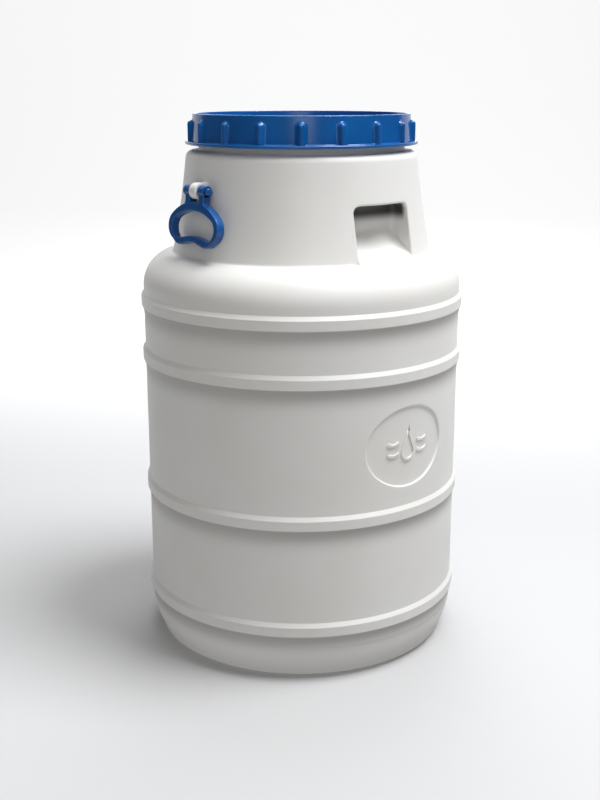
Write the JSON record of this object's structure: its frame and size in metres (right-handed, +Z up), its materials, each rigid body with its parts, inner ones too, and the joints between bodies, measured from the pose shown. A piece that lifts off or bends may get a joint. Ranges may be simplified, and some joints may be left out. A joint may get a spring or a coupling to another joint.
{
  "type": "plastic open head drum",
  "caption": "Blow-moulded wide-neck drum with hoops, moulded hand grips, a blue screw lid and two swing handles.",
  "frame": {"origin": "centre of the base on the floor", "axes": "+Z up along the drum's axis; hand grips face -Y and +Y, with the roundel on the -Y side; swing handles hang at -X and +X"},
  "size_m": [0.431, 0.4308, 0.707],
  "materials": {
    "drum_plastic": "satin",
    "lid_plastic": "glossy",
    "handle_plastic": "glossy",
    "lug_plastic": "satin",
    "seal_rubber": "matt"
  },
  "bodies": {
    "drum": {"drum_base": "drum_plastic", "drum_wall": "drum_plastic", "drum_shoulder": "drum_plastic", "drum_neck": "drum_plastic", "drum_mouth": "drum_plastic", "handle_lug_left": "lug_plastic", "handle_lug_right": "lug_plastic"},
    "seal": {"lid_seal": "seal_rubber"},
    "lid": {"screw_lid": "lid_plastic"},
    "left_handle": {"handle_left": "handle_plastic", "handle_pin_left": "handle_plastic"},
    "right_handle": {"handle_right": "handle_plastic", "handle_pin_right": "handle_plastic"}
  },
  "joints": [
    {"name": "lid_lift", "type": "slide", "parent": "drum", "child": "seal", "axis": [0, 0, 1], "range_m": [0, 0.1201]},
    {"name": "lid_turn", "type": "hinge", "parent": "seal", "child": "lid", "pos_m": [0, 0, 0.69], "axis": [0, 0, 1], "range_deg": [0, 2160]},
    {"name": "left_handle_swing", "type": "hinge", "parent": "drum", "child": "left_handle", "pos_m": [-0.1662, 0, 0.6155], "axis": [0, 1, 0], "range_deg": [0, 165]},
    {"name": "right_handle_swing", "type": "hinge", "parent": "drum", "child": "right_handle", "pos_m": [0.1662, 0, 0.6155], "axis": [0, -1, 0], "range_deg": [0, 165]}
  ],
  "couplings": [
    {"joint": "lid_lift", "follows": "lid_turn", "m_per_rad": 0.0031831}
  ]
}
